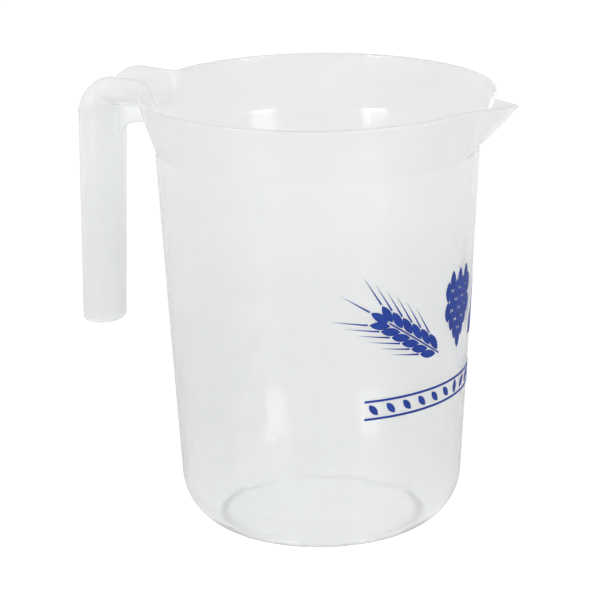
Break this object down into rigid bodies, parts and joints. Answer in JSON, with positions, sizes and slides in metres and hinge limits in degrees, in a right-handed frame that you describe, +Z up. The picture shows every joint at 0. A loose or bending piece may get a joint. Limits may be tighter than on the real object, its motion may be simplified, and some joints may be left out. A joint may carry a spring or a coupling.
{
  "type": "beer pitcher",
  "caption": "Stackable translucent plastic pitcher with a flared collar, V spout, open-topped hollow hanging grip and a blue barley and hop print under the spout.",
  "frame": {"origin": "the middle of the foot on the table plane, on the jug's axis", "axes": "+Z up along the jug's axis, +X towards the spout, -X towards the handle, Y across"},
  "size_m": [0.1888, 0.14, 0.1732],
  "materials": {
    "natural_polypropylene": "milky translucent natural polypropylene with a smooth semi-gloss moulded face",
    "blue_ink": "flat dark blue screen-print ink, satin"
  },
  "bodies": {
    "root": {"base": "natural_polypropylene", "wall": "natural_polypropylene", "collar": "natural_polypropylene", "spout": "natural_polypropylene", "handle_trough": "natural_polypropylene", "handle_rib": "natural_polypropylene", "handle_grip": "natural_polypropylene", "print_left_ear": "blue_ink", "print_right_ear": "blue_ink", "print_hop": "blue_ink", "print_border": "blue_ink"}
  },
  "joints": []
}
